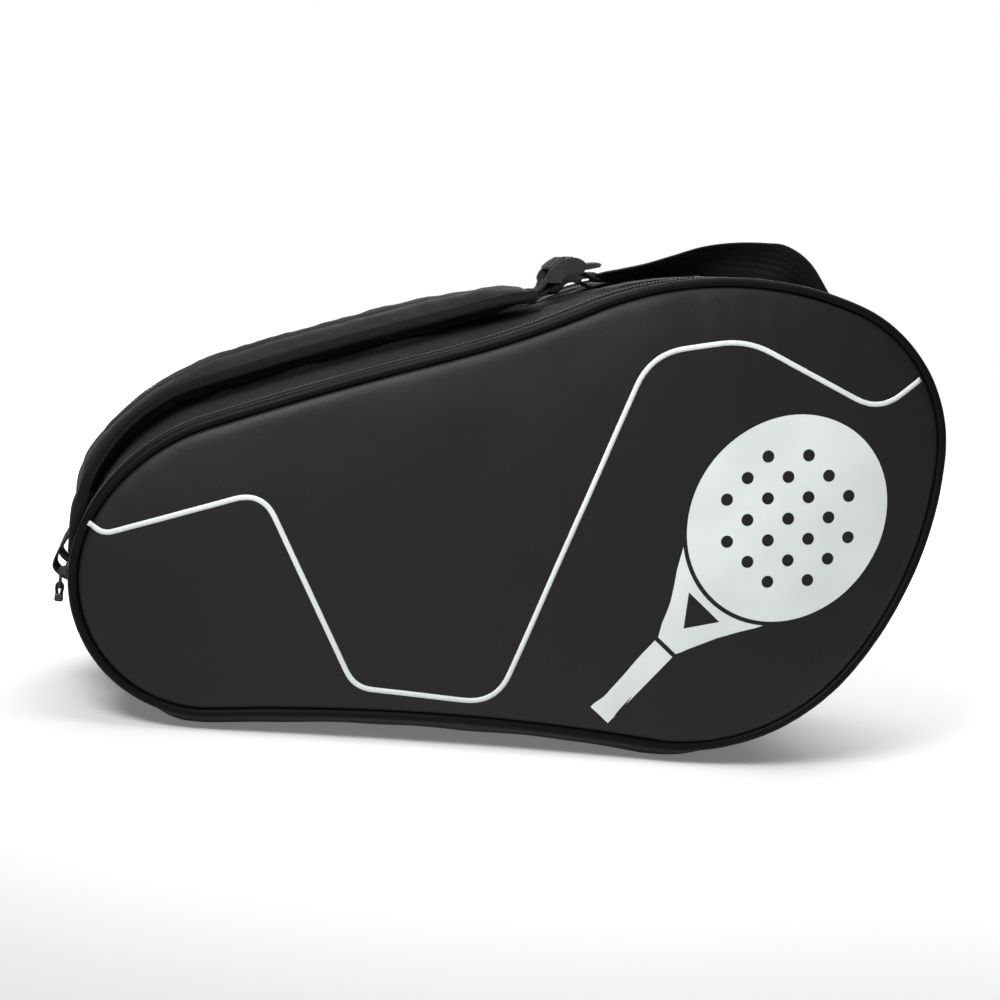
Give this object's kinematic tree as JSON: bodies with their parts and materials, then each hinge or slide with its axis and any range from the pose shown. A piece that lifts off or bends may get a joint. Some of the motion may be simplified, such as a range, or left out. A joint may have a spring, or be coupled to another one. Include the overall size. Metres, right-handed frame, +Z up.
{
  "type": "padel racket bag",
  "caption": "Padel racket bag with a waisted outline, a zipped compartment on each side that opens like a clamshell, piped coated panels and padded shoulder straps on its spine.",
  "frame": {"origin": "on the ground, at the middle of the bag's box", "axes": "+X towards the wide head end, +Z up, the front panel faces -Y"},
  "size_m": [0.5895, 0.2103, 0.3597],
  "materials": {
    "coated_panel": "matte polyurethane coated fabric",
    "gusset_fabric": "woven polyester",
    "divider_fabric": "woven polyester over foam",
    "foil_lining": "insulating foil-backed lining",
    "panel_foam": "closed-cell foam sheet",
    "piping": "fabric-covered cord",
    "zip_tape": "woven tape with a nylon coil",
    "webbing": "ribbed webbing",
    "strap_fabric": "woven polyester over foam",
    "hardware": "moulded acetal, satin",
    "print_film": "heat-transfer print film"
  },
  "bodies": {
    "bag": {"spine_panel": "gusset_fabric", "head_gusset": "gusset_fabric", "lower_gusset": "gusset_fabric", "divider": "divider_fabric", "front_lining": "foil_lining", "rear_lining": "foil_lining", "front_inner_tape": "zip_tape", "rear_inner_tape": "zip_tape", "front_zip_ends": "gusset_fabric", "rear_zip_ends": "gusset_fabric", "front_heel_webbing": "webbing", "rear_heel_webbing": "webbing", "front_webbing": "webbing", "rear_webbing": "webbing", "anchor_patches": "gusset_fabric"},
    "front_cover": {"front_panel": "coated_panel", "front_foam": "panel_foam", "front_panel_lining": "foil_lining", "front_piping": "piping", "front_zip_strip": "gusset_fabric", "front_outer_tape": "zip_tape", "front_stripe": "print_film", "front_print": "print_film"},
    "rear_cover": {"rear_panel": "coated_panel", "rear_foam": "panel_foam", "rear_panel_lining": "foil_lining", "rear_piping": "piping", "rear_zip_strip": "gusset_fabric", "rear_outer_tape": "zip_tape"},
    "front_zip_slider": {"front_slider": "hardware"},
    "front_zip_puller": {"front_puller": "hardware", "front_pull_cord": "webbing"},
    "rear_zip_slider": {"rear_slider": "hardware"},
    "rear_zip_puller": {"rear_puller": "hardware", "rear_pull_cord": "webbing"},
    "front_strap": {"front_strap_pad": "strap_fabric", "front_strap_tab": "webbing"},
    "front_strap_buckle": {"front_buckle": "hardware", "front_webbing_tail": "webbing"},
    "rear_strap": {"rear_strap_pad": "strap_fabric", "rear_strap_tab": "webbing"},
    "rear_strap_buckle": {"rear_buckle": "hardware", "rear_webbing_tail": "webbing"}
  },
  "joints": [
    {"name": "front_cover_open", "type": "hinge", "parent": "bag", "child": "front_cover", "pos_m": [0, -0.103, 0.0085], "axis": [1, 0, 0], "range_deg": [0, 65]},
    {"name": "front_zip_run", "type": "hinge", "parent": "bag", "child": "front_zip_slider", "pos_m": [-0.19135, -0.068, 0.10037], "axis": [0, -1, 0], "range_deg": [-30, 28]},
    {"name": "front_puller_swing", "type": "hinge", "parent": "front_zip_slider", "child": "front_zip_puller", "pos_m": [-0.2884, -0.068, 0.09287], "axis": [0, 1, 0], "range_deg": [0, 150]},
    {"name": "front_strap_lift", "type": "hinge", "parent": "bag", "child": "front_strap", "pos_m": [-0.28169, -0.03, 0.12822], "axis": [0, -1, 0], "range_deg": [0, 6]},
    {"name": "front_buckle_tilt", "type": "hinge", "parent": "front_strap", "child": "front_strap_buckle", "pos_m": [0.02187, -0.03, 0.31486], "axis": [0, -1, 0], "range_deg": [-5, 15]},
    {"name": "rear_cover_open", "type": "hinge", "parent": "bag", "child": "rear_cover", "pos_m": [0, 0.103, 0.0085], "axis": [-1, 0, 0], "range_deg": [0, 65]},
    {"name": "rear_zip_run", "type": "hinge", "parent": "bag", "child": "rear_zip_slider", "pos_m": [-0.19135, 0.068, 0.10037], "axis": [0, -1, 0], "range_deg": [-30, 28]},
    {"name": "rear_puller_swing", "type": "hinge", "parent": "rear_zip_slider", "child": "rear_zip_puller", "pos_m": [-0.2884, 0.068, 0.09287], "axis": [0, 1, 0], "range_deg": [0, 150]},
    {"name": "rear_strap_lift", "type": "hinge", "parent": "bag", "child": "rear_strap", "pos_m": [-0.28169, 0.03, 0.12822], "axis": [0, -1, 0], "range_deg": [0, 6]},
    {"name": "rear_buckle_tilt", "type": "hinge", "parent": "rear_strap", "child": "rear_strap_buckle", "pos_m": [0.03292, 0.03, 0.30879], "axis": [0, -1, 0], "range_deg": [0, 15]}
  ]
}
